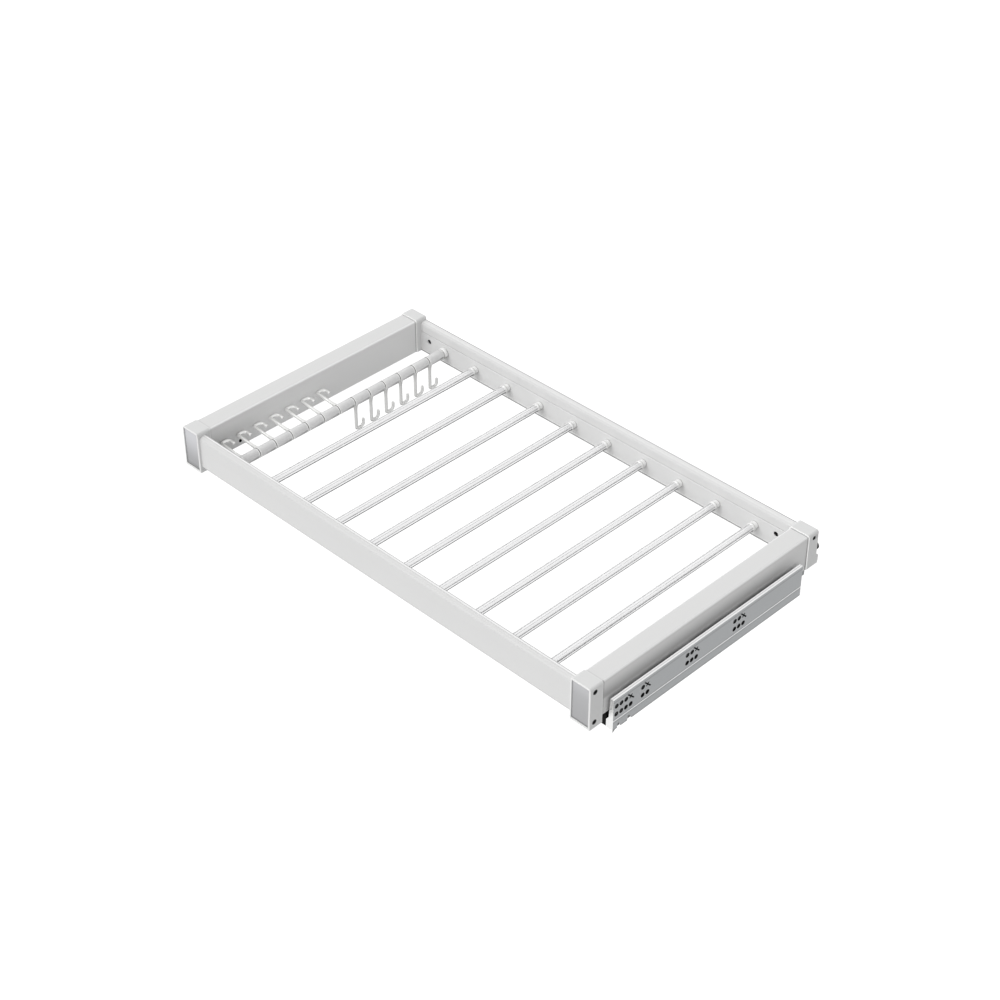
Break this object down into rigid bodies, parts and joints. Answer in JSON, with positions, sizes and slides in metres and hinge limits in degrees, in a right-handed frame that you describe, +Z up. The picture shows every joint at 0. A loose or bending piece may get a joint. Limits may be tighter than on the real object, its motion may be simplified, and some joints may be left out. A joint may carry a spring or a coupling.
{
  "type": "pull-out trouser rack",
  "caption": "Wardrobe frame of deep side tubes and slim rails with ribbed trouser bars and a side bar of swinging hooks, pulling out on side-mounted undermount slides.",
  "frame": {"origin": "on the left slide's wall face, at the centre of its four-hole screw pattern, which is the middle of the slide's length", "axes": "+X runs across to the right, -Y to the front, the way the rack pulls out, and +Z up"},
  "size_m": [0.832, 0.4685, 0.0933],
  "materials": {
    "frame_paint": "satin pale grey powder coat",
    "corner_plastic": "fine satin moulding",
    "insert_metal": "brushed, anodised",
    "bar_paint": "satin white",
    "hook_plastic": "satin off-white moulding",
    "slide_steel": "galvanised",
    "roller_steel": "ground",
    "cage_plastic": "plain moulding",
    "black_plastic": "plain moulding",
    "screw_black": "blackened steel",
    "stud_metal": "bright plated",
    "connector_metal": "as cast"
  },
  "bodies": {
    "cabinet": {"cabinet_rail_left": "slide_steel", "cabinet_rail_right": "slide_steel"},
    "middle_left": {"middle_rail_left": "slide_steel"},
    "lower_carriage_left": {"lower_cage_left": "cage_plastic", "lower_rollers_left": "roller_steel"},
    "upper_carriage_left": {"upper_cage_left": "cage_plastic", "upper_rollers_left": "roller_steel"},
    "middle_right": {"middle_rail_right": "slide_steel"},
    "lower_carriage_right": {"lower_cage_right": "cage_plastic", "lower_rollers_right": "roller_steel"},
    "upper_carriage_right": {"upper_cage_right": "cage_plastic", "upper_rollers_right": "roller_steel"},
    "swinging_hook_01": {"hook_01": "hook_plastic"},
    "swinging_hook_02": {"hook_02": "hook_plastic"},
    "swinging_hook_03": {"hook_03": "hook_plastic"},
    "swinging_hook_04": {"hook_04": "hook_plastic"},
    "swinging_hook_05": {"hook_05": "hook_plastic"},
    "swinging_hook_06": {"hook_06": "hook_plastic"},
    "swinging_hook_07": {"hook_07": "hook_plastic"},
    "swinging_hook_08": {"hook_08": "hook_plastic"},
    "swinging_hook_09": {"hook_09": "hook_plastic"},
    "swinging_hook_10": {"hook_10": "hook_plastic"},
    "swinging_hook_11": {"hook_11": "hook_plastic"},
    "swinging_hook_12": {"hook_12": "hook_plastic"},
    "swinging_hook_13": {"hook_13": "hook_plastic"},
    "rack": {"front_corner_left": "corner_plastic", "rear_corner_left": "corner_plastic", "front_insert_left": "insert_metal", "front_connector_left": "connector_metal", "rear_connector_left": "connector_metal", "side_tube_left": "frame_paint", "drawer_rail_left": "slide_steel", "locking_device_left": "black_plastic", "front_corner_right": "corner_plastic", "rear_corner_right": "corner_plastic", "front_insert_right": "insert_metal", "front_connector_right": "connector_metal", "rear_connector_right": "connector_metal", "side_tube_right": "frame_paint", "drawer_rail_right": "slide_steel", "locking_device_right": "black_plastic", "corner_screws": "screw_black", "tube_screws": "screw_black", "front_rail": "frame_paint", "rear_rail": "frame_paint", "trouser_bar_1": "bar_paint", "trouser_bar_2": "bar_paint", "trouser_bar_3": "bar_paint", "trouser_bar_4": "bar_paint", "trouser_bar_5": "bar_paint", "trouser_bar_6": "bar_paint", "trouser_bar_7": "bar_paint", "trouser_bar_8": "bar_paint", "trouser_bar_9": "bar_paint", "bar_end_plugs": "hook_plastic", "hook_bar": "slide_steel", "hook_bar_spacer": "hook_plastic", "hook_bar_cap": "hook_plastic", "rear_bumpers": "black_plastic", "bumper_studs": "stud_metal"}
  },
  "joints": [
    {"name": "pull_out", "type": "slide", "parent": "cabinet", "child": "rack", "axis": [0, -1, 0], "range_m": [0, 0.38]},
    {"name": "middle_left_slide", "type": "slide", "parent": "cabinet", "child": "middle_left", "axis": [0, -1, 0], "range_m": [0, 0.19]},
    {"name": "lower_carriage_left_slide", "type": "slide", "parent": "cabinet", "child": "lower_carriage_left", "axis": [0, -1, 0], "range_m": [0, 0.095]},
    {"name": "upper_carriage_left_slide", "type": "slide", "parent": "cabinet", "child": "upper_carriage_left", "axis": [0, -1, 0], "range_m": [0, 0.285]},
    {"name": "middle_right_slide", "type": "slide", "parent": "cabinet", "child": "middle_right", "axis": [0, -1, 0], "range_m": [0, 0.19]},
    {"name": "lower_carriage_right_slide", "type": "slide", "parent": "cabinet", "child": "lower_carriage_right", "axis": [0, -1, 0], "range_m": [0, 0.095]},
    {"name": "upper_carriage_right_slide", "type": "slide", "parent": "cabinet", "child": "upper_carriage_right", "axis": [0, -1, 0], "range_m": [0, 0.285]},
    {"name": "hook_01_swing", "type": "hinge", "parent": "rack", "child": "swinging_hook_01", "pos_m": [0.0969, -0.17545, 0.0147], "axis": [0, 1, 0], "range_deg": [0, 352]},
    {"name": "hook_02_swing", "type": "hinge", "parent": "rack", "child": "swinging_hook_02", "pos_m": [0.0969, -0.14435, 0.0147], "axis": [0, 1, 0], "range_deg": [0, 352]},
    {"name": "hook_03_swing", "type": "hinge", "parent": "rack", "child": "swinging_hook_03", "pos_m": [0.0969, -0.11325, 0.0147], "axis": [0, 1, 0], "range_deg": [0, 352]},
    {"name": "hook_04_swing", "type": "hinge", "parent": "rack", "child": "swinging_hook_04", "pos_m": [0.0969, -0.08215, 0.0147], "axis": [0, 1, 0], "range_deg": [0, 352]},
    {"name": "hook_05_swing", "type": "hinge", "parent": "rack", "child": "swinging_hook_05", "pos_m": [0.0969, -0.05105, 0.0147], "axis": [0, 1, 0], "range_deg": [0, 352]},
    {"name": "hook_06_swing", "type": "hinge", "parent": "rack", "child": "swinging_hook_06", "pos_m": [0.0969, -0.01995, 0.0147], "axis": [0, 1, 0], "range_deg": [0, 352]},
    {"name": "hook_07_swing", "type": "hinge", "parent": "rack", "child": "swinging_hook_07", "pos_m": [0.0969, 0.01115, 0.0147], "axis": [0, 1, 0], "range_deg": [0, 352]},
    {"name": "hook_08_swing", "type": "hinge", "parent": "rack", "child": "swinging_hook_08", "pos_m": [0.0969, 0.04225, 0.0147], "axis": [0, 1, 0], "range_deg": [-266, 86]},
    {"name": "hook_09_swing", "type": "hinge", "parent": "rack", "child": "swinging_hook_09", "pos_m": [0.0969, 0.07335, 0.0147], "axis": [0, 1, 0], "range_deg": [-266, 86]},
    {"name": "hook_10_swing", "type": "hinge", "parent": "rack", "child": "swinging_hook_10", "pos_m": [0.0969, 0.10445, 0.0147], "axis": [0, 1, 0], "range_deg": [-266, 86]},
    {"name": "hook_11_swing", "type": "hinge", "parent": "rack", "child": "swinging_hook_11", "pos_m": [0.0969, 0.13555, 0.0147], "axis": [0, 1, 0], "range_deg": [-266, 86]},
    {"name": "hook_12_swing", "type": "hinge", "parent": "rack", "child": "swinging_hook_12", "pos_m": [0.0969, 0.16665, 0.0147], "axis": [0, 1, 0], "range_deg": [-266, 86]},
    {"name": "hook_13_swing", "type": "hinge", "parent": "rack", "child": "swinging_hook_13", "pos_m": [0.0969, 0.19775, 0.0147], "axis": [0, 1, 0], "range_deg": [-266, 86]}
  ],
  "couplings": [
    {"joint": "middle_left_slide", "follows": "pull_out", "ratio": 0.5},
    {"joint": "lower_carriage_left_slide", "follows": "pull_out", "ratio": 0.25},
    {"joint": "upper_carriage_left_slide", "follows": "pull_out", "ratio": 0.75},
    {"joint": "middle_right_slide", "follows": "pull_out", "ratio": 0.5},
    {"joint": "lower_carriage_right_slide", "follows": "pull_out", "ratio": 0.25},
    {"joint": "upper_carriage_right_slide", "follows": "pull_out", "ratio": 0.75}
  ]
}
